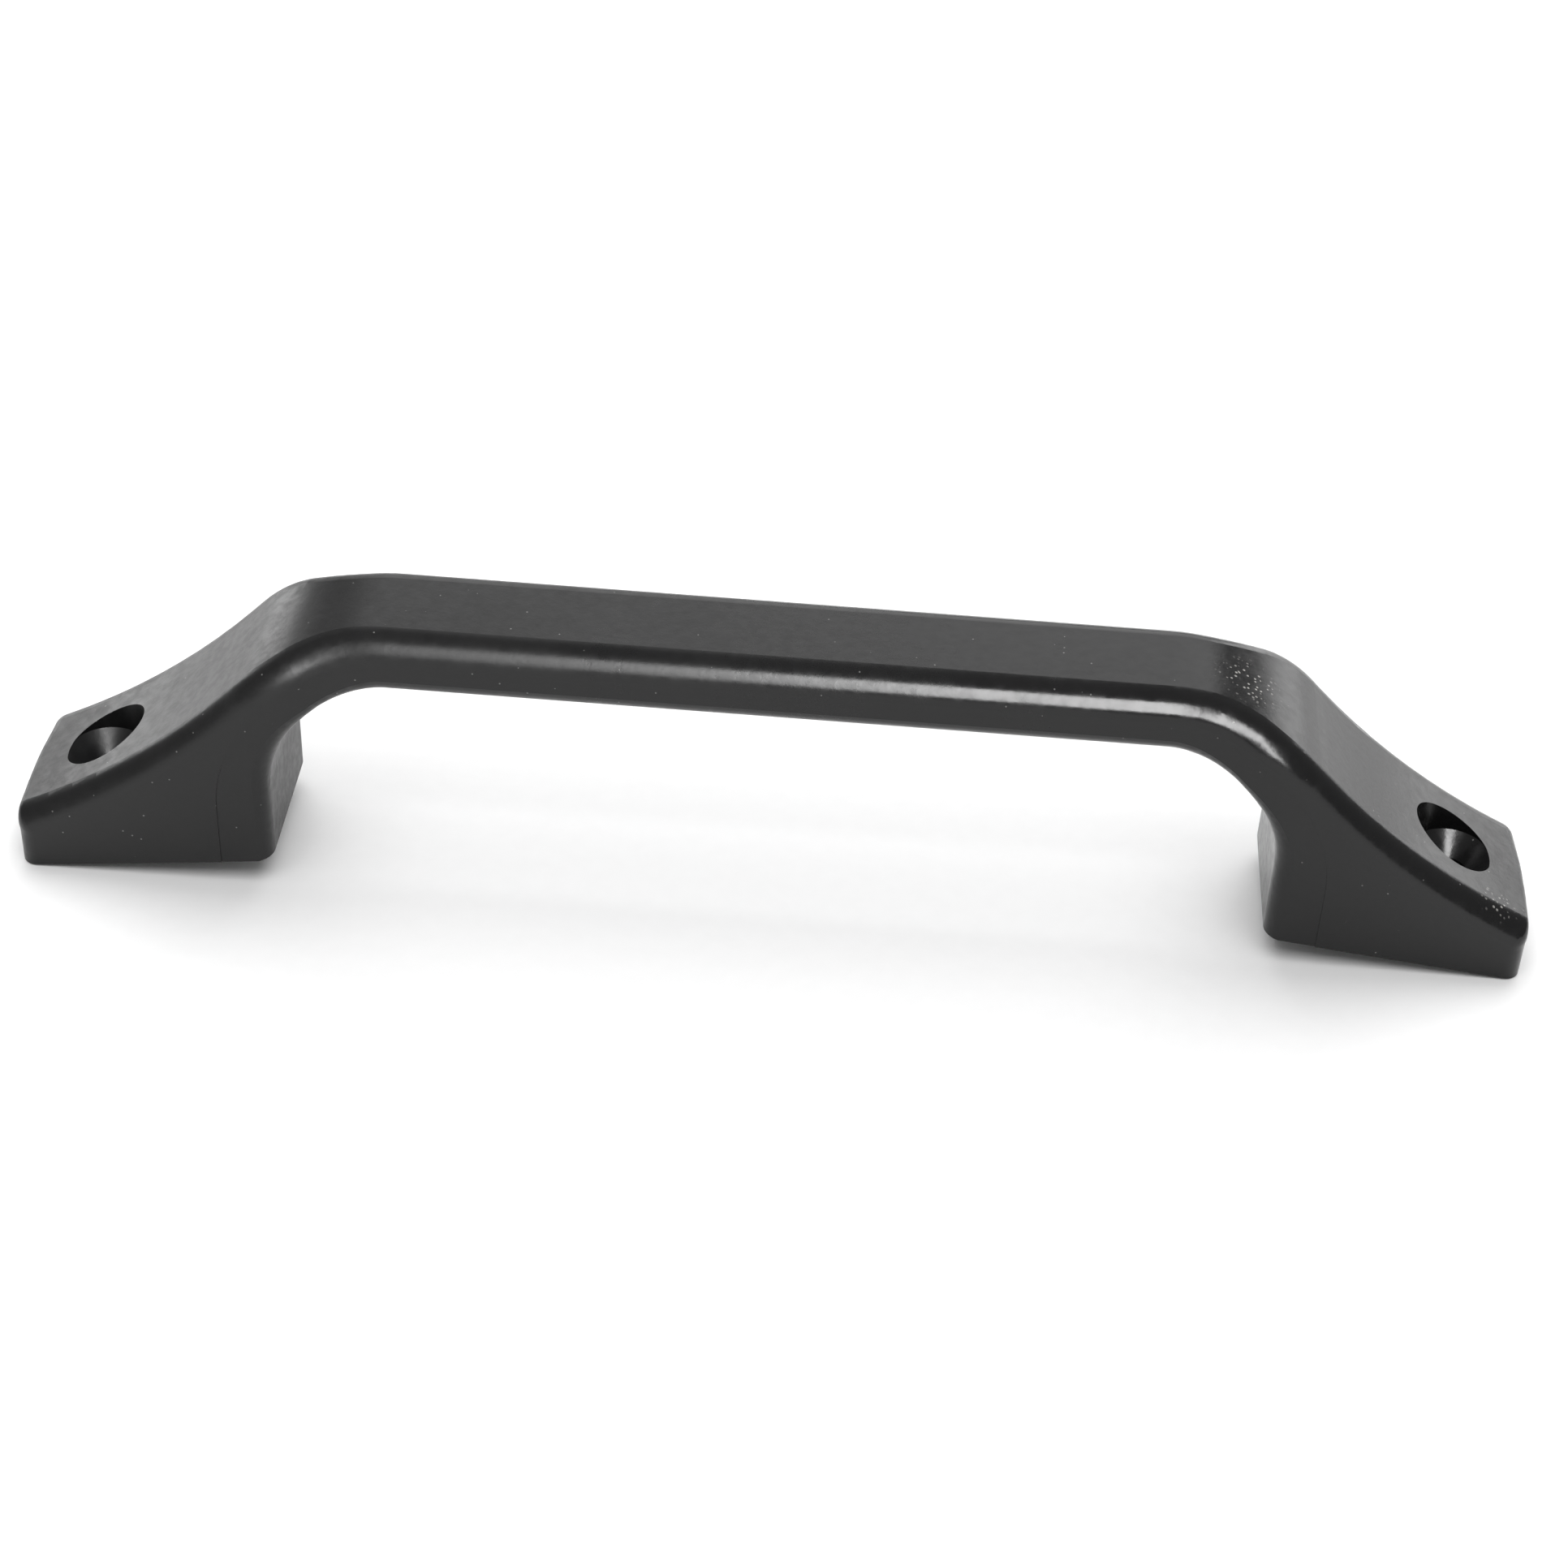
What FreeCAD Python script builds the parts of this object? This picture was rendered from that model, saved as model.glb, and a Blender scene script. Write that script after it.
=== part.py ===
import FreeCAD, Part
import math
import os

import Sketcher

# A one-piece moulded grab handle: a rounded bar on two S-shaped arms, which widen in plan into
# two block feet. Each foot has a vertical recess with a conical seat for a countersunk screw.
# X runs along the bar, Y across it and Z away from the panel. The origin is midway between the
# screw holes, at the height of the lowest edges of the feet, where the handle touches a flat
# panel. Everything is in millimetres and degrees.

DIMENSIONS = (
    ("overall_length", 245.0),
    ("foot_length", 42.1),
    ("foot_width", 29.2),
    ("base_tilt", 6.5),
    ("bar_height", 47.8),
    ("bar_width", 21.8),
    ("bar_thickness", 10.8),
    ("bend_start", 61.0),
    ("bend_radius", 33.5),
    ("arm_slope", 46.3),
    ("arm_straight", 2.0),
    ("sweep_radius", 123.0),
    ("arch_radius", 19.0),
    ("flare_start", 65.0),
    ("flare_end", 83.0),
    ("end_bow_radius", 210.0),
    ("bar_edge_radius", 4.4),
    ("foot_edge_radius", 3.8),
    ("bar_edge_ends", 60.0),
    ("foot_edge_begins", 80.0),
    ("grip_edge_radius", 4.3),
    ("foot_corner_radius", 3.2),
    ("end_corner_radius", 2.8),
    ("end_edge_radius", 1.2),
    ("parting_depth", 5.4),
    ("parting_inset", 8.3),
    ("parting_step", 0.15),
    ("hole_centres", 220.0),
    ("recess_diameter", 13.2),
    ("screw_diameter", 6.6),
    ("seat_angle", 90.0),
    ("seat_height", 13.3),
    ("core_wall", 3.6),
    ("core_top_wall", 6.0),
    ("core_corner_radius", 2.0),
)
# How far cutting and trimming solids run past the surfaces that they cut.
CLEAR = 5.0
# Two points nearer than this are the same place on the solid.
TOLERANCE = 0.05
# The ends of a sketch edge, its centre, and the sketch's own axes.
START, END, CENTRE = 1, 2, 3
X_AXIS, Y_AXIS = -1, -2

os.makedirs("parts", exist_ok=True)
doc = FreeCAD.newDocument("grab_handle")
sheet = doc.addObject("Spreadsheet::Sheet", "dims")
for row, (alias, value) in enumerate(DIMENSIONS, start=1):
    sheet.set("A%d" % row, alias)
    sheet.set("B%d" % row, str(value))
    sheet.setAlias("B%d" % row, alias)
doc.recompute()
dim = {alias: float(sheet.get(alias)) for alias, value in DIMENSIONS}

TOP_Z = dim["bar_height"]
GRIP_Z = TOP_Z - dim["bar_thickness"]
HALF_LENGTH = dim["overall_length"] / 2
INNER_X = HALF_LENGTH - dim["foot_length"]
ARCH_X = INNER_X - dim["arch_radius"]
HOLE_X = dim["hole_centres"] / 2
TILT = math.radians(dim["base_tilt"])
SLOPE = math.radians(dim["arm_slope"])

# Where the bend, the straight and the sweep of the top of an arm meet.
BEND_END_X = dim["bend_start"] + dim["bend_radius"] * math.sin(SLOPE)
BEND_END_Z = TOP_Z - dim["bend_radius"] * (1 - math.cos(SLOPE))
SWEEP_START_X = BEND_END_X + dim["arm_straight"] * math.cos(SLOPE)
SWEEP_START_Z = BEND_END_Z - dim["arm_straight"] * math.sin(SLOPE)
SWEEP_CENTRE_X = SWEEP_START_X + dim["sweep_radius"] * math.sin(SLOPE)
SWEEP_CENTRE_Z = SWEEP_START_Z + dim["sweep_radius"] * math.cos(SLOPE)


def top_height(x):
    """Height of the top surface at a distance along the handle."""
    x = abs(x)
    if x <= dim["bend_start"]:
        return TOP_Z
    if x <= BEND_END_X:
        bend = dim["bend_radius"]
        return TOP_Z - bend + math.sqrt(bend ** 2 - (x - dim["bend_start"]) ** 2)
    if x <= SWEEP_START_X:
        return BEND_END_Z - (x - BEND_END_X) * math.tan(SLOPE)
    return SWEEP_CENTRE_Z - math.sqrt(dim["sweep_radius"] ** 2 - (x - SWEEP_CENTRE_X) ** 2)


def add_body(name):
    return doc.addObject("PartDesign::Body", name)


def add_sketch(body, name, role):
    """A sketch on one of the body's own origin planes."""
    plane = next(f for f in body.Origin.OriginFeatures if f.Role == role)
    sketch = body.newObject("Sketcher::SketchObject", name)
    sketch.AttachmentSupport = [(plane, "")]
    sketch.MapMode = "FlatFace"
    return sketch


def add_pad(body, sketch, name, length):
    """A pad that runs equally far to both sides of its sketch."""
    pad = body.newObject("PartDesign::Pad", name)
    pad.Profile = sketch
    pad.Midplane = True
    pad.setExpression("Length", length)
    return pad


def line(sketch, first, last):
    ends = [FreeCAD.Vector(point[0], point[1], 0) for point in (first, last)]
    return sketch.addGeometry(Part.LineSegment(*ends), False)


def arc(sketch, centre, radius, from_deg, to_deg):
    """A counter-clockwise arc about a centre."""
    circle = Part.Circle(FreeCAD.Vector(centre[0], centre[1], 0), FreeCAD.Vector(0, 0, 1), radius)
    piece = Part.ArcOfCircle(circle, math.radians(from_deg), math.radians(to_deg))
    return sketch.addGeometry(piece, False)


def constrain(sketch, kind, *where):
    return sketch.addConstraint(Sketcher.Constraint(kind, *where))


def bind(sketch, expression, kind, *where):
    """A dimension of the sketch, bound to the sheet."""
    index = constrain(sketch, kind, *where)
    sketch.setExpression("Constraints[%d]" % index, expression)


def draw_side(sketch):
    """The outline seen from the front: bar, arms, tilted feet and the arches inside them."""
    bend, sweep, arch = dim["bend_radius"], dim["sweep_radius"], dim["arch_radius"]
    slope = dim["arm_slope"]
    end_z = top_height(HALF_LENGTH)
    end_turn = math.degrees(math.acos((SWEEP_CENTRE_X - HALF_LENGTH) / sweep))
    base_rise = dim["foot_length"] * math.tan(TILT)

    top = line(sketch, (-dim["bend_start"], TOP_Z), (dim["bend_start"], TOP_Z))
    grip = line(sketch, (-ARCH_X, GRIP_Z), (ARCH_X, GRIP_Z))
    constrain(sketch, "Horizontal", top)
    constrain(sketch, "Horizontal", grip)
    bind(sketch, "dims.bar_height", "DistanceY", X_AXIS, START, top, START, TOP_Z)
    bind(sketch, "dims.bar_thickness", "DistanceY", grip, START, top, START,
         dim["bar_thickness"])
    for sign in (1, -1):
        # An arc that runs counter-clockwise begins at its far end on the right-hand arm,
        # and at its near end on the left-hand one. The sweep curves the other way.
        near, far = (END, START) if sign > 0 else (START, END)
        quarter = 0 if sign > 0 else 90
        bend_from = 90 - slope if sign > 0 else 90
        sweep_from = 270 - slope if sign > 0 else 180 + end_turn
        sweep_to = 360 - end_turn if sign > 0 else 270 + slope
        bend_arc = arc(sketch, (sign * dim["bend_start"], TOP_Z - bend), bend,
                       bend_from, bend_from + slope)
        straight = line(sketch, (sign * BEND_END_X, BEND_END_Z),
                        (sign * SWEEP_START_X, SWEEP_START_Z))
        sweep_arc = arc(sketch, (sign * SWEEP_CENTRE_X, SWEEP_CENTRE_Z), sweep,
                        sweep_from, sweep_to)
        end_face = line(sketch, (sign * HALF_LENGTH, end_z), (sign * HALF_LENGTH, 0))
        base = line(sketch, (sign * HALF_LENGTH, 0), (sign * INNER_X, base_rise))
        inner = line(sketch, (sign * INNER_X, base_rise), (sign * INNER_X, GRIP_Z - arch))
        arch_arc = arc(sketch, (sign * ARCH_X, GRIP_Z - arch), arch, quarter, quarter + 90)

        constrain(sketch, "Tangent", top, near, bend_arc, near)
        constrain(sketch, "Tangent", bend_arc, far, straight, START)
        constrain(sketch, "Tangent", straight, END, sweep_arc, far)
        constrain(sketch, "Coincident", sweep_arc, near, end_face, START)
        constrain(sketch, "Coincident", end_face, END, base, START)
        constrain(sketch, "Coincident", base, END, inner, START)
        constrain(sketch, "Tangent", inner, END, arch_arc, far)
        constrain(sketch, "Tangent", arch_arc, near, grip, near)
        constrain(sketch, "Vertical", end_face)
        constrain(sketch, "Vertical", inner)
        constrain(sketch, "PointOnObject", end_face, END, X_AXIS)

        side = "%d * " % sign
        bend_ends = (top, near, straight, START) if sign > 0 else (straight, START, top, near)
        bind(sketch, side + "dims.bend_start", "DistanceX", X_AXIS, START, top, near,
             sign * dim["bend_start"])
        bind(sketch, "dims.bend_radius", "Radius", bend_arc, bend)
        bind(sketch, "dims.bend_radius * sin(dims.arm_slope * 1deg)", "DistanceX", *bend_ends,
             BEND_END_X - dim["bend_start"])
        bind(sketch, "dims.arm_straight", "Distance", straight, dim["arm_straight"])
        bind(sketch, "dims.sweep_radius", "Radius", sweep_arc, sweep)
        bind(sketch, side + "dims.overall_length / 2", "DistanceX", X_AXIS, START,
             end_face, END, sign * HALF_LENGTH)
        bind(sketch, side + "(dims.overall_length / 2 - dims.foot_length)", "DistanceX",
             X_AXIS, START, inner, START, sign * INNER_X)
        bind(sketch, "dims.foot_length * tan(dims.base_tilt * 1deg)", "DistanceY",
             X_AXIS, START, inner, START, base_rise)
        bind(sketch, "dims.arch_radius", "Radius", arch_arc, arch)


def draw_plan(sketch, step, step_text):
    """The outline seen from above, with its sides moved inwards by a step."""
    bar = dim["bar_width"] / 2 - step
    foot = dim["foot_width"] / 2 - step
    half_length = HALF_LENGTH + step
    run = dim["flare_end"] - dim["flare_start"]
    turn = 2 * math.atan((foot - bar) / run)
    flare = run / (2 * math.sin(turn))
    turn = math.degrees(turn)
    bow = dim["end_bow_radius"]
    bow_half = math.degrees(math.asin(foot / bow))
    corner_x = half_length - bow + math.sqrt(bow ** 2 - foot ** 2)

    foot_lines = {}
    for side in (1, -1):
        bar_line = line(sketch, (-dim["flare_start"], side * bar), (dim["flare_start"], side * bar))
        constrain(sketch, "Horizontal", bar_line)
        bind(sketch, "%d * (dims.bar_width / 2%s)" % (side, step_text), "DistanceY",
             X_AXIS, START, bar_line, START, side * bar)
        for sign in (1, -1):
            bar_end = END if sign > 0 else START
            clockwise = sign != side
            out_from = 270 if side > 0 else 90
            back_from = 90 if side > 0 else 270
            swing = -turn if clockwise else 0
            out_arc = arc(sketch, (sign * dim["flare_start"], side * (bar + flare)), flare,
                          out_from + swing, out_from + swing + turn)
            back_arc = arc(sketch, (sign * dim["flare_end"], side * (foot - flare)), flare,
                           back_from + swing, back_from + swing + turn)
            foot_line = line(sketch, (sign * dim["flare_end"], side * foot),
                             (sign * corner_x, side * foot))
            outer, inner = (END, START) if clockwise else (START, END)
            constrain(sketch, "Tangent", bar_line, bar_end, out_arc, outer)
            constrain(sketch, "Tangent", out_arc, inner, back_arc, inner)
            constrain(sketch, "Tangent", back_arc, outer, foot_line, START)
            constrain(sketch, "Equal", out_arc, back_arc)
            bind(sketch, "%d * dims.flare_start" % sign, "DistanceX", X_AXIS, START,
                 bar_line, bar_end, sign * dim["flare_start"])
            bind(sketch, "%d * dims.flare_end" % sign, "DistanceX", X_AXIS, START,
                 foot_line, START, sign * dim["flare_end"])
            bind(sketch, "%d * (dims.foot_width / 2%s)" % (side, step_text), "DistanceY",
                 X_AXIS, START, foot_line, START, side * foot)
            foot_lines[(sign, side)] = foot_line
    for sign in (1, -1):
        facing = 0 if sign > 0 else 180
        front, back = (START, END) if sign > 0 else (END, START)
        end_arc = arc(sketch, (sign * (half_length - bow), 0), bow,
                      facing - bow_half, facing + bow_half)
        constrain(sketch, "Coincident", foot_lines[(sign, -1)], END, end_arc, front)
        constrain(sketch, "Coincident", foot_lines[(sign, 1)], END, end_arc, back)
        constrain(sketch, "PointOnObject", end_arc, CENTRE, X_AXIS)
        bind(sketch, "dims.end_bow_radius", "Radius", end_arc, bow)
        bind(sketch, "%d * (dims.overall_length / 2 + %g - dims.end_bow_radius)" % (sign, step),
             "DistanceX", X_AXIS, START, end_arc, CENTRE, sign * (half_length - bow))


def draw_parting(sketch):
    """The region of the lower mould half: below the line on the bar, and round each arch."""
    line_z = TOP_Z - dim["parting_depth"]
    line_x = INNER_X + dim["parting_inset"]
    turn = line_x - ARCH_X
    top = line(sketch, (-ARCH_X, line_z), (ARCH_X, line_z))
    floor = line(sketch, (-line_x, -CLEAR), (line_x, -CLEAR))
    constrain(sketch, "Horizontal", top)
    constrain(sketch, "Horizontal", floor)
    bind(sketch, "dims.bar_height - dims.parting_depth", "DistanceY", X_AXIS, START,
         top, START, line_z)
    bind(sketch, "%g" % -CLEAR, "DistanceY", X_AXIS, START, floor, START, -CLEAR)
    for sign in (1, -1):
        near, far = (END, START) if sign > 0 else (START, END)
        quarter = 0 if sign > 0 else 90
        bend = arc(sketch, (sign * ARCH_X, line_z - turn), turn, quarter, quarter + 90)
        drop = line(sketch, (sign * line_x, line_z - turn), (sign * line_x, -CLEAR))
        constrain(sketch, "Vertical", drop)
        constrain(sketch, "Tangent", top, near, bend, near)
        constrain(sketch, "Tangent", bend, far, drop, START)
        constrain(sketch, "Coincident", drop, END, floor, near)
        foot_inside = "%d * (dims.overall_length / 2 - dims.foot_length" % sign
        bind(sketch, foot_inside + " - dims.arch_radius)", "DistanceX", X_AXIS, START,
             top, near, sign * ARCH_X)
        bind(sketch, foot_inside + " + dims.parting_inset)", "DistanceX", X_AXIS, START,
             drop, END, sign * line_x)


def draw_polygon(sketch, points):
    """A closed outline through the points. Returns its edges in order."""
    edges = [line(sketch, *pair) for pair in zip(points, points[1:] + points[:1])]
    for first, last in zip(edges, edges[1:] + edges[:1]):
        constrain(sketch, "Coincident", first, END, last, START)
    return edges


def recess_tool(name, sign):
    """The space of one screw: shank hole, conical seat and head recess, turned about Z."""
    body = add_body(name)
    sketch = add_sketch(body, name + "_profile", "XZ_Plane")
    head = dim["recess_diameter"] / 2
    shank = dim["screw_diameter"] / 2
    seat = dim["seat_height"]
    cone_depth = (head - shank) / math.tan(math.radians(dim["seat_angle"] / 2))
    points = [(0, -CLEAR), (shank, -CLEAR), (shank, seat - cone_depth), (head, seat),
              (head, TOP_Z), (0, TOP_Z)]
    floor, shank_wall, cone, head_wall, lid, axis = draw_polygon(sketch, points)
    for level in (floor, lid):
        constrain(sketch, "Horizontal", level)
    for upright in (shank_wall, head_wall, axis):
        constrain(sketch, "Vertical", upright)
    constrain(sketch, "PointOnObject", axis, START, Y_AXIS)
    bind(sketch, "%g" % -CLEAR, "DistanceY", X_AXIS, START, floor, START, -CLEAR)
    bind(sketch, "dims.bar_height", "DistanceY", X_AXIS, START, lid, START, TOP_Z)
    bind(sketch, "dims.screw_diameter / 2", "DistanceX", X_AXIS, START, shank_wall, START, shank)
    bind(sketch, "dims.recess_diameter / 2", "DistanceX", X_AXIS, START, head_wall, START, head)
    bind(sketch, "dims.seat_height", "DistanceY", X_AXIS, START, head_wall, START, seat)
    bind(sketch, "(dims.recess_diameter - dims.screw_diameter) / 2 / tan(dims.seat_angle / 2 * 1deg)",
         "DistanceY", cone, START, cone, END, cone_depth)
    turned = body.newObject("PartDesign::Revolution", name + "_turned")
    turned.Profile = sketch
    turned.ReferenceAxis = (sketch, ["V_Axis"])
    turned.Angle = 360
    body.setExpression("Placement.Base.x", "%d * dims.hole_centres / 2" % sign)
    return body


def core_tool(name, sign):
    """The hollow that lightens one foot from below, between its inner wall and screw boss."""
    body = add_body(name)
    sketch = add_sketch(body, name + "_profile", "XZ_Plane")
    wall_x = INNER_X + dim["core_wall"]
    boss_x = HOLE_X - dim["recess_diameter"] / 2 - dim["core_wall"]
    wall_z = GRIP_Z - dim["arch_radius"] + dim["core_wall"]
    boss_z = top_height(boss_x) - dim["core_top_wall"]
    points = [(sign * wall_x, -CLEAR), (sign * boss_x, -CLEAR), (sign * boss_x, boss_z),
              (sign * wall_x, wall_z)]
    floor, boss_side, ceiling, wall_side = draw_polygon(sketch, points)
    constrain(sketch, "Horizontal", floor)
    constrain(sketch, "Vertical", boss_side)
    constrain(sketch, "Vertical", wall_side)
    bind(sketch, "%g" % -CLEAR, "DistanceY", X_AXIS, START, floor, START, -CLEAR)
    bind(sketch, "%d * (dims.overall_length / 2 - dims.foot_length + dims.core_wall)" % sign,
         "DistanceX", X_AXIS, START, floor, START, sign * wall_x)
    bind(sketch, "%d * (dims.hole_centres / 2 - dims.recess_diameter / 2 - dims.core_wall)" % sign,
         "DistanceX", X_AXIS, START, floor, END, sign * boss_x)
    bind(sketch, "dims.bar_height - dims.bar_thickness - dims.arch_radius + dims.core_wall",
         "DistanceY", X_AXIS, START, ceiling, END, wall_z)
    bind(sketch, "%g - dims.core_top_wall" % top_height(boss_x),
         "DistanceY", X_AXIS, START, ceiling, START, boss_z)
    pad = add_pad(body, sketch, name + "_pad", "dims.foot_width - 2 * dims.core_wall")
    doc.recompute()
    rounding = body.newObject("PartDesign::Fillet", name + "_rounding")
    corners = ["Edge%d" % number for number, edge in enumerate(pad.Shape.Edges, start=1)
               if middle_of(edge).z > -CLEAR + TOLERANCE]
    rounding.Base = (pad, corners)
    rounding.setExpression("Radius", "dims.core_corner_radius")
    return body


def middle_of(edge):
    first, last = edge.ParameterRange
    return edge.valueAt((first + last) / 2)


def ends_of(edge):
    return [edge.valueAt(parameter) for parameter in edge.ParameterRange]


def runs_across(edge):
    first, last = ends_of(edge)
    return abs(first.y - last.y) > dim["bar_width"] / 2


def is_upright(edge):
    first, last = ends_of(edge)
    return math.hypot(first.x - last.x, first.y - last.y) < TOLERANCE


def is_top_edge(edge):
    """The long edges between the top surface and the front and back."""
    point = middle_of(edge)
    on_top = abs(point.z - top_height(point.x)) < TOLERANCE
    return on_top and not runs_across(edge) and not is_upright(edge)


def is_grip_edge(edge):
    """The edges under the bar, round the arches and up the inner corners of the feet."""
    point = middle_of(edge)
    if runs_across(edge) or abs(point.x) > INNER_X + TOLERANCE:
        return False
    corner = abs(abs(point.x) - INNER_X) < TOLERANCE
    return point.z < GRIP_Z + TOLERANCE and (corner or not is_upright(edge))


def is_end_edge(edge):
    """The top and the corners of the two outer end faces."""
    point = middle_of(edge)
    return abs(point.x) > HALF_LENGTH - 1.0 and point.z > 1.0


def blend_radius(x, from_x, to_x, from_radius, to_radius):
    """A radius that changes evenly between two places along the handle."""
    share = min(max((abs(x) - from_x) / (to_x - from_x), 0.0), 1.0)
    return from_radius + share * (to_radius - from_radius)


def top_radius(point):
    return blend_radius(point.x, dim["bar_edge_ends"], dim["foot_edge_begins"],
                        dim["bar_edge_radius"], dim["foot_edge_radius"])


def grip_radius(point):
    return blend_radius(point.x, ARCH_X, INNER_X, dim["grip_edge_radius"], dim["foot_corner_radius"])


def end_radius(point):
    """Small along the top of the end face, and larger down its two corners."""
    on_top = abs(point.z - top_height(point.x)) < TOLERANCE
    return dim["end_edge_radius"] if on_top else dim["end_corner_radius"]


def round_edges(name, base, chosen, radius_at):
    """Round the chosen edges of a solid, each from its radius at one end to the other."""
    fillet = doc.addObject("Part::Fillet", name)
    fillet.Base = base
    edges = []
    for number, edge in enumerate(base.Shape.Edges, start=1):
        if chosen(edge):
            first, last = ends_of(edge)
            edges.append((number, radius_at(first), radius_at(last)))
    fillet.Edges = edges
    doc.recompute()
    return fillet


def cut(name, base, tool):
    result = doc.addObject("Part::Cut", name)
    result.Base = base
    result.Tool = tool
    return result


# The blank is the side outline pulled across the width, where it lies inside the plan.
side_body = add_body("side_blank")
side_sketch = add_sketch(side_body, "side_outline", "XZ_Plane")
draw_side(side_sketch)
add_pad(side_body, side_sketch, "side_pad", "dims.foot_width + %g" % (2 * CLEAR))

plan_body = add_body("plan_blank")
plan_sketch = add_sketch(plan_body, "plan_outline", "XY_Plane")
draw_plan(plan_sketch, 0, "")
add_pad(plan_body, plan_sketch, "plan_pad", "2 * dims.bar_height + %g" % (2 * CLEAR))

blank = doc.addObject("Part::MultiCommon", "moulding_blank")
blank.Shapes = [side_body, plan_body]
doc.recompute()

# Large radii on the bar run out into small ones on the feet.
top_rounded = round_edges("top_rounding", blank, is_top_edge, top_radius)
grip_rounded = round_edges("grip_rounding", top_rounded, is_grip_edge, grip_radius)
end_rounded = round_edges("end_rounding", grip_rounded, is_end_edge, end_radius)

# The parting line: the lower mould half leaves the sides a hair inside the upper one.
lower_body = add_body("lower_mould_region")
lower_sketch = add_sketch(lower_body, "parting_outline", "XZ_Plane")
draw_parting(lower_sketch)
add_pad(lower_body, lower_sketch, "lower_pad", "dims.foot_width + %g" % (2 * CLEAR))

inset_body = add_body("lower_mould_plan")
inset_sketch = add_sketch(inset_body, "inset_outline", "XY_Plane")
draw_plan(inset_sketch, dim["parting_step"], " - dims.parting_step")
add_pad(inset_body, inset_sketch, "inset_pad", "2 * dims.bar_height + %g" % (2 * CLEAR))
shaving = cut("parting_shaving", lower_body, inset_body)
parted = cut("parted_moulding", end_rounded, shaving)

# The screw recesses and the cores are taken out of the parted moulding.
hollows = doc.addObject("Part::MultiFuse", "hollows")
hollows.Shapes = [
    recess_tool("right_recess", 1),
    recess_tool("left_recess", -1),
    core_tool("right_core", 1),
    core_tool("left_core", -1),
]
handle = cut("handle", parted, hollows)
handle.Label = "handle_moulding"
handle.Placement = FreeCAD.Placement()
doc.recompute()

for item in doc.Objects:
    if "Invalid" in item.State or "Error" in item.State:
        raise RuntimeError("%s failed: %s" % (item.Label, item.State))
for smaller, larger in ((blank, side_body), (parted, end_rounded), (handle, parted)):
    if not smaller.Shape.Volume < larger.Shape.Volume:
        raise RuntimeError("%s removed nothing" % smaller.Label)
for node in (handle,):
    if node.Shape.isNull() or not node.Shape.isValid() or len(node.Shape.Solids) != 1:
        raise RuntimeError("%s is not one valid solid" % node.Label)
    node.Shape.exportStep("parts/%s.step" % node.Label)
    print(node.Label, round(node.Shape.Volume), "mm3", node.Shape.BoundBox)
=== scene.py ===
import math

import bpy
from mathutils import Matrix, Vector


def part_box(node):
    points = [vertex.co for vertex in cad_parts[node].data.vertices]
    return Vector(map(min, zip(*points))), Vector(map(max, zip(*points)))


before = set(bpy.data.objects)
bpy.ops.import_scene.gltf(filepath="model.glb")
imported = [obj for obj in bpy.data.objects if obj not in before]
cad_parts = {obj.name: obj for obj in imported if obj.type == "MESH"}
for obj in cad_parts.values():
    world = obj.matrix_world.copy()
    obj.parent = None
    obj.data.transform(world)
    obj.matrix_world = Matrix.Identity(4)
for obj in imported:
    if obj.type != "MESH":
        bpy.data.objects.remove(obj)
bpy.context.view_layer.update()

# A black plastic grab handle, lying on a pale floor. The handle's shape is the CAD's own, and
# this script gives it its material, the lights and the camera. Lengths are in metres, and
# colours are linear red, green, blue and alpha.

MM = 0.001
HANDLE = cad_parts["handle_moulding"]
HALF_LENGTH, HALF_WIDTH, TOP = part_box("handle_moulding")[1]
WHITE = (1, 1, 1, 1)
scene = bpy.context.scene


def link(thing):
    scene.collection.objects.link(thing)
    return thing


# ---------------------------------------------------------------- camera

def add_camera(name, place, right, up, lens):
    """A camera from its place and the directions of its right-hand side and its top."""
    camera = link(bpy.data.objects.new(name, bpy.data.cameras.new(name)))
    right = Vector(right).normalized()
    up = Vector(up)
    up = (up - right * up.dot(right)).normalized()
    back = right.cross(up)
    turn = Matrix((right, up, back)).transposed().to_4x4()
    camera.matrix_world = Matrix.Translation(Vector(place)) @ turn
    camera.data.sensor_width = 36.0
    camera.data.lens = lens
    camera.data.clip_start = 0.01
    return camera


# The camera is about half a metre from the handle, 38.6 degrees above the panel, turned
# 2.6 degrees to the left and rolled 2.8 degrees.
scene.camera = add_camera(
    "camera",
    place=(0.01948, -0.39955, 0.33628),
    right=(0.99649, 0.07484, 0.03760),
    up=(-0.07603, 0.61998, 0.78093),
    lens=72.25,
)


# ---------------------------------------------------------------- nodes

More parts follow.
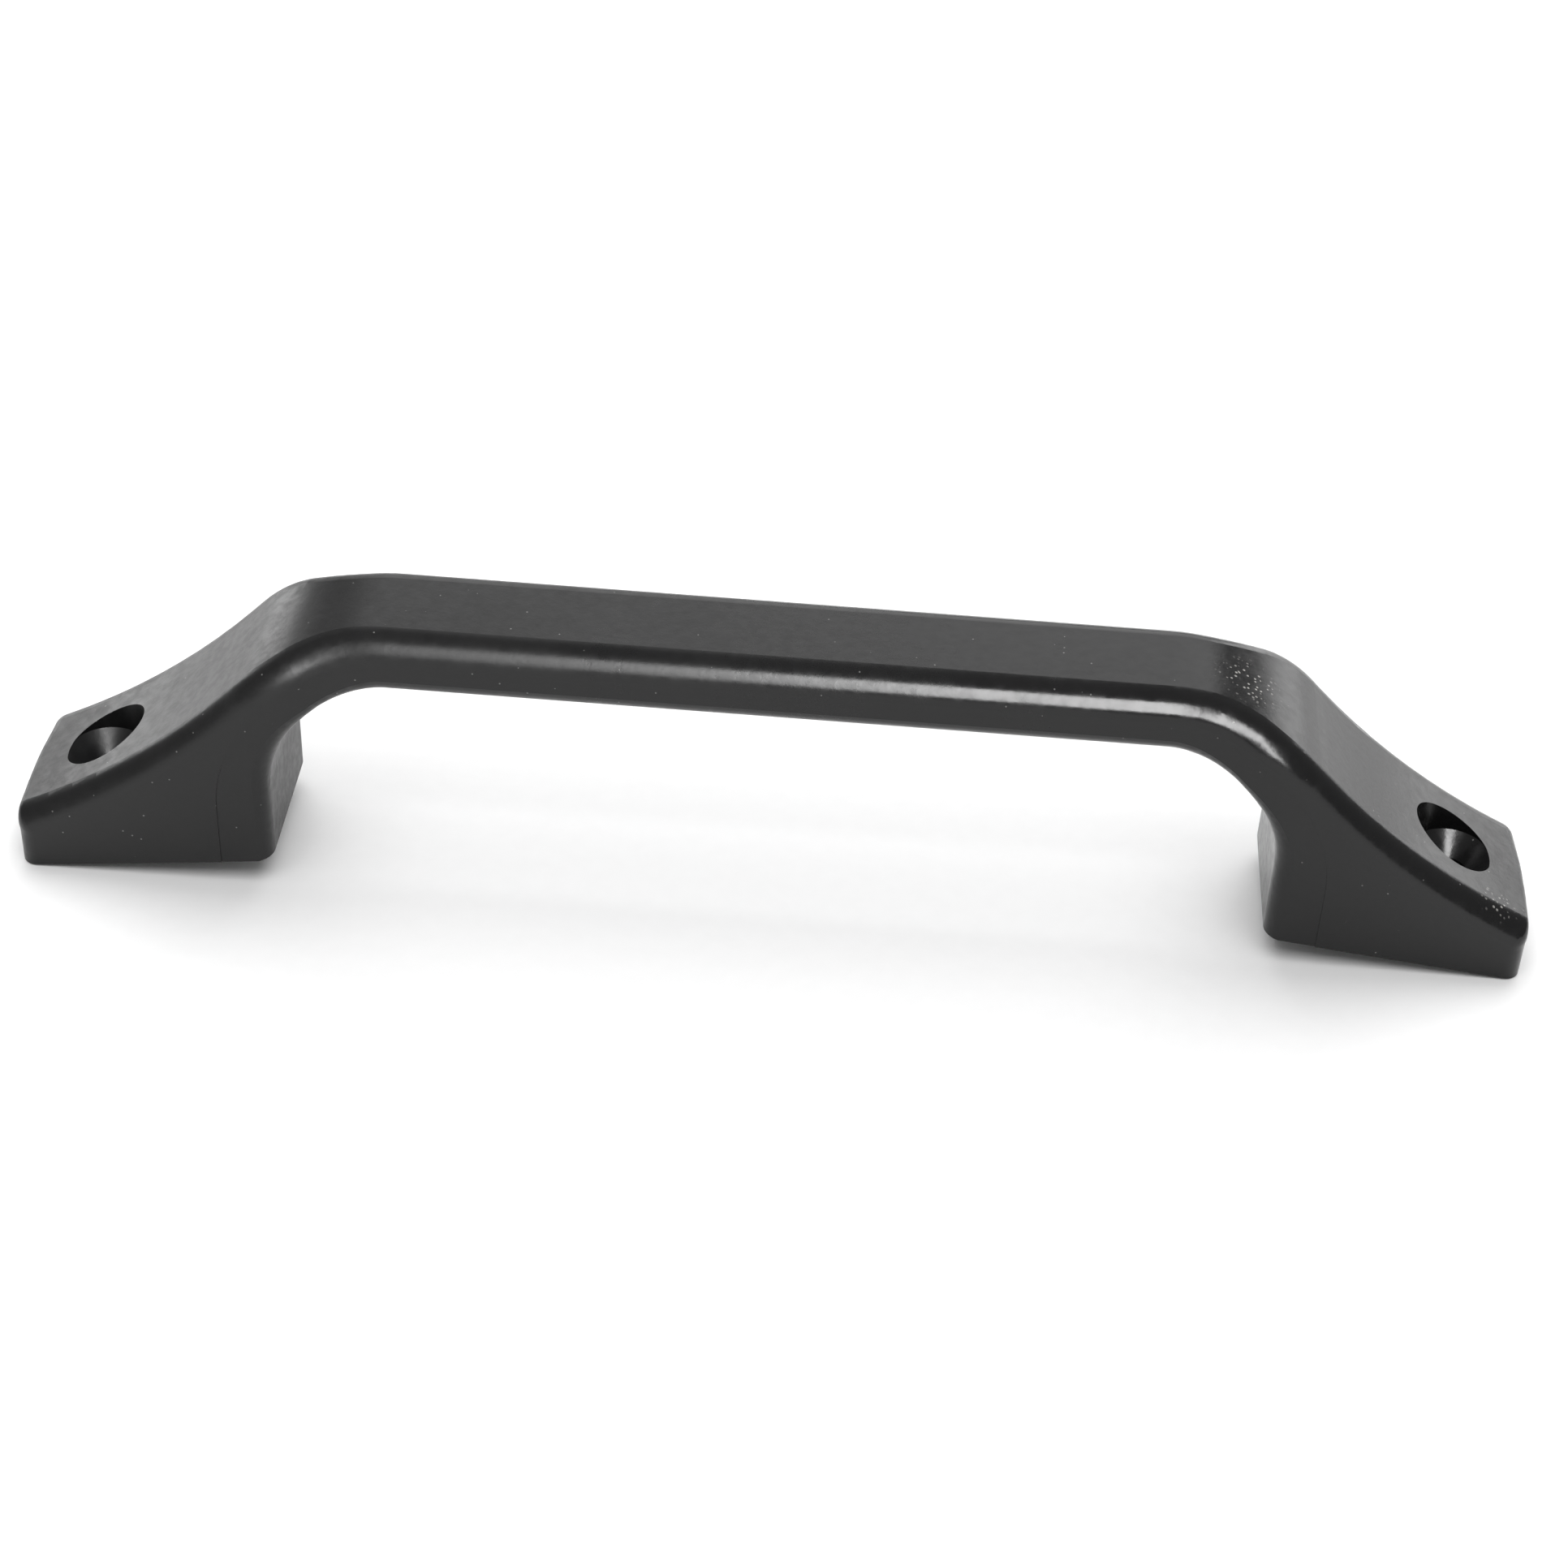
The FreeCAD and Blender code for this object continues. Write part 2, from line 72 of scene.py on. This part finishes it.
class Nodes:
    """A short way to add nodes to a material and join them up."""

    def __init__(self, name):
        self.material = bpy.data.materials.new(name)
        self.material.use_nodes = True
        self.tree = self.material.node_tree
        self.tree.nodes.clear()

    def add(self, kind, **settings):
        node = self.tree.nodes.new(kind)
        for key, value in settings.items():
            setattr(node, key, value)
        return node

    def join(self, source, target):
        self.tree.links.new(source, target)

    def feed(self, socket, value):
        """Give a socket a link if the value is a socket, and else a number or a colour."""
        if isinstance(value, bpy.types.NodeSocket):
            self.join(value, socket)
        else:
            socket.default_value = value

    def noise(self, where, scale, detail, roughness=0.5):
        node = self.add("ShaderNodeTexNoise")
        self.join(where, node.inputs["Vector"])
        node.inputs["Scale"].default_value = scale
        node.inputs["Detail"].default_value = detail
        node.inputs["Roughness"].default_value = roughness
        return node.outputs["Fac"]

    def remap(self, value, from_low, from_high, to_low, to_high):
        node = self.add("ShaderNodeMapRange", interpolation_type="SMOOTHSTEP")
        self.feed(node.inputs["Value"], value)
        node.inputs["From Min"].default_value = from_low
        node.inputs["From Max"].default_value = from_high
        node.inputs["To Min"].default_value = to_low
        node.inputs["To Max"].default_value = to_high
        return node.outputs["Result"]

    def math(self, operation, first, second):
        node = self.add("ShaderNodeMath", operation=operation)
        self.feed(node.inputs[0], first)
        self.feed(node.inputs[1], second)
        return node.outputs[0]

    def mix(self, factor, first, second):
        node = self.add("ShaderNodeMix", data_type="RGBA")
        self.feed(node.inputs["Factor"], factor)
        self.feed(node.inputs["A"], first)
        self.feed(node.inputs["B"], second)
        return node.outputs["Result"]

    def stretched(self, where, scale):
        node = self.add("ShaderNodeMapping")
        self.join(where, node.inputs["Vector"])
        node.inputs["Scale"].default_value = scale
        return node.outputs["Vector"]

    def specks(self, where, scale, size, rarity):
        """Small round grains in some of the cells of a Voronoi pattern.

        The size is a share of a cell, and the rarity is the share of cells left empty.
        """
        cells = self.add("ShaderNodeTexVoronoi")
        self.join(where, cells.inputs["Vector"])
        cells.inputs["Scale"].default_value = scale
        draw = self.add("ShaderNodeSeparateColor")
        self.join(cells.outputs["Color"], draw.inputs["Color"])
        grain = self.remap(cells.outputs["Distance"], size / 2, size, 1.0, 0.0)
        return self.math("MULTIPLY", grain, self.math("GREATER_THAN", draw.outputs["Red"], rarity))

    def near(self, where, centre, reach):
        """1 at a place on the object, falling to 0 at its reach."""
        gap = self.add("ShaderNodeVectorMath", operation="DISTANCE")
        self.join(where, gap.inputs[0])
        gap.inputs[1].default_value = centre
        return self.remap(gap.outputs["Value"], 0.2 * reach, reach, 1.0, 0.0)

    def bump(self, height, distance, strength, under=None):
        node = self.add("ShaderNodeBump")
        node.inputs["Distance"].default_value = distance
        node.inputs["Strength"].default_value = strength
        self.join(height, node.inputs["Height"])
        if under is not None:
            self.join(under, node.inputs["Normal"])
        return node.outputs["Normal"]

    def finish(self, shader):
        output = self.add("ShaderNodeOutputMaterial")
        self.join(shader.outputs["BSDF"], output.inputs["Surface"])
        return self.material


# ---------------------------------------------------------------- black plastic

# Two neighbouring blacks of the moulding, its dust, and pale marks that are partly scuffs and
# partly painted glints of light.
BLACK_DEEP = (0.0060, 0.0060, 0.0064, 1)
BLACK_WORN = (0.0100, 0.0098, 0.0098, 1)
DUST_COLOUR = (0.30, 0.30, 0.29, 1)
SCUFF_AND_GLINT_COLOUR = (0.42, 0.41, 0.39, 1)
DUST_COVER = 0.45
SCUFF_AND_GLINT_COVER = 0.8

# Scale, detail and roughness of each noise, from broad to fine.
CLOUD = (45.0, 4.0, 0.6)
RIPPLE = (120.0, 2.0, 0.5)
MOTTLE = (520.0, 3.0, 0.65)
GRAIN = (1500.0, 3.0, 0.6)
# The middle part of a noise's values, which is all that a remap uses.
NOISE_LOW, NOISE_HIGH = 0.3, 0.7

# Scale, size and rarity of the coarse dust, the fine dust and the pale specks of scuffs and
# painted glints.
COARSE_DUST = (240.0, 0.050, 0.70)
FINE_DUST = (700.0, 0.13, 0.90)
SCUFF_AND_GLINT_MARKS = (1500.0, 0.42, 0.55)
# The scuff marks and painted glints are drawn out along Z.
SCUFF_AND_GLINT_STRETCH = (1, 1, 0.4)

# Centre and reach of the places with scuffs and painted glints: the top of the right-hand bend,
# and the front outer corner of the right foot.
SCUFFED_AND_GLINTING_PLACES = (
    ((0.60 * HALF_LENGTH, -0.05 * HALF_WIDTH, 0.95 * TOP), 7 * MM),
    ((0.96 * HALF_LENGTH, -0.75 * HALF_WIDTH, 0.3 * TOP), 5 * MM),
)

# The surface is satin on the left and glossier on the right, between these two places.
SATIN_X, GLOSSY_X = -0.6 * HALF_LENGTH, 0.5 * HALF_LENGTH
SATIN, GLOSSY = 0.35, 0.20
PLASTIC_IOR = 1.40

# Height and strength of each bump.
GRAIN_BUMP = (0.018 * MM, 0.5)
MOTTLE_BUMP = (0.05 * MM, 0.5)
RIPPLE_BUMP = (0.06 * MM, 0.3)


def black_plastic():
    m = Nodes("moulded_black_plastic")
    where = m.add("ShaderNodeTexCoord").outputs["Object"]
    along = m.add("ShaderNodeSeparateXYZ")
    m.join(where, along.inputs["Vector"])
    cloud = m.noise(where, *CLOUD)
    grain = m.noise(where, *GRAIN)
    mottle = m.noise(where, *MOTTLE)
    ripple = m.noise(where, *RIPPLE)

    dust = m.math("MAXIMUM", m.specks(where, *COARSE_DUST), m.specks(where, *FINE_DUST))
    # Pale specks that stand partly for scuff wear and partly for painted glints of light.
    scuff_and_glint_marks = m.specks(m.stretched(where, SCUFF_AND_GLINT_STRETCH), *SCUFF_AND_GLINT_MARKS)
    on_bend, on_corner = [m.near(where, *place) for place in SCUFFED_AND_GLINTING_PLACES]
    scuffs_and_glints = m.math("MULTIPLY", scuff_and_glint_marks, m.math("MAXIMUM", on_bend, on_corner))
    base = m.mix(cloud, BLACK_DEEP, BLACK_WORN)
    dusty = m.mix(m.math("MULTIPLY", dust, DUST_COVER), base, DUST_COLOUR)
    # The pale specks are painted into the colour: scuff wear, and painted glints on the bend.
    colour = m.mix(m.math("MULTIPLY", scuffs_and_glints, SCUFF_AND_GLINT_COVER), dusty, SCUFF_AND_GLINT_COLOUR)

    polish = m.remap(along.outputs["X"], SATIN_X, GLOSSY_X, SATIN, GLOSSY)
    cloudy = m.math("ADD", polish, m.remap(cloud, NOISE_LOW, NOISE_HIGH, -0.03, 0.03))
    rough = m.math("ADD", cloudy, m.remap(mottle, NOISE_LOW, NOISE_HIGH, -0.03, 0.05))

    shader = m.add("ShaderNodeBsdfPrincipled")
    m.join(colour, shader.inputs["Base Color"])
    m.join(rough, shader.inputs["Roughness"])
    shader.inputs["IOR"].default_value = PLASTIC_IOR
    fine = m.bump(grain, *GRAIN_BUMP)
    middle = m.bump(mottle, *MOTTLE_BUMP, fine)
    broad = m.bump(ripple, *RIPPLE_BUMP, middle)
    m.join(broad, shader.inputs["Normal"])
    return m.finish(shader)


for slot in HANDLE.material_slots:
    slot.material = black_plastic()


# ---------------------------------------------------------------- floor

FLOOR_SIZE = 6.0
PAPER_SHADE = (0.90, 0.90, 0.90, 1)
PAPER_LIGHT = (0.93, 0.93, 0.93, 1)


def pale_paper():
    m = Nodes("pale_paper")
    where = m.add("ShaderNodeTexCoord").outputs["Object"]
    fibre = m.noise(where, 300.0, 3.0)
    shader = m.add("ShaderNodeBsdfPrincipled")
    m.join(m.mix(fibre, PAPER_SHADE, PAPER_LIGHT), shader.inputs["Base Color"])
    shader.inputs["Roughness"].default_value = 0.9
    shader.inputs["Specular IOR Level"].default_value = 0.2
    return m.finish(shader)


def add_floor():
    half = FLOOR_SIZE / 2
    corners = [(-half, -half, 0), (half, -half, 0), (half, half, 0), (-half, half, 0)]
    mesh = bpy.data.meshes.new("floor")
    mesh.from_pydata(corners, [], [(0, 1, 2, 3)])
    mesh.materials.append(pale_paper())
    link(bpy.data.objects.new("floor", mesh))


add_floor()


# ---------------------------------------------------------------- lights

# Name, azimuth, elevation, distance, width, height, power in watts, and what doesn't see the
# light. Azimuth 0 is in front of the handle and 90 to its right. The two front lights make the
# long highlight on the bar and don't light the floor. The two fills light the floor and aren't
# mirrored in the plastic.
LIGHTS = (
    ("front_light", 9, 34, 1.2, 0.40, 0.95, 23, "visible_diffuse"),
    ("front_wash", 0, 34, 1.25, 1.0, 1.0, 6, "visible_diffuse"),
    ("left_back_light", -135, 2, 1.6, 0.6, 0.25, 3, None),
    ("right_back_light", 145, 8, 1.6, 0.9, 0.4, 2.6, None),
    ("back_panel", 180, 27, 2.0, 1.6, 1.2, 8.5, None),
    ("top_fill", 180, 62, 1.4, 1.5, 1.2, 17, "visible_glossy"),
    ("front_fill", 0, 70, 1.4, 1.5, 1.0, 11, "visible_glossy"),
)


def add_softbox(name, azimuth, elevation, distance, width, height, power, unseen_by):
    """A rectangular area light that faces the handle and that the camera doesn't see."""
    light = bpy.data.lights.new(name, "AREA")
    light.shape = "RECTANGLE"
    light.size = width
    light.size_y = height
    light.energy = power
    turn, lift = math.radians(azimuth), math.radians(elevation)
    place = Vector((math.sin(turn) * math.cos(lift), -math.cos(turn) * math.cos(lift),
                    math.sin(lift))) * distance
    facing = place.to_track_quat("Z", "Y").to_matrix().to_4x4()
    box = link(bpy.data.objects.new(name, light))
    box.matrix_world = Matrix.Translation(place) @ facing
    box.visible_camera = False
    if unseen_by:
        setattr(box, unseen_by, False)


for row in LIGHTS:
    add_softbox(*row)

# The background is white where it is seen directly, and dimmer as a light.
BACKGROUND_AS_LIGHT = 0.3
BACKGROUND_SEEN = 1.0
world = bpy.data.worlds.new("studio")
scene.world = world
world.use_nodes = True
background = world.node_tree.nodes["Background"]
background.inputs["Color"].default_value = WHITE
rays = world.node_tree.nodes.new("ShaderNodeLightPath")
strength = world.node_tree.nodes.new("ShaderNodeMapRange")
strength.inputs["To Min"].default_value = BACKGROUND_AS_LIGHT
strength.inputs["To Max"].default_value = BACKGROUND_SEEN
world.node_tree.links.new(rays.outputs["Is Camera Ray"], strength.inputs["Value"])
world.node_tree.links.new(strength.outputs["Result"], background.inputs["Strength"])
scene.view_settings.view_transform = "Standard"
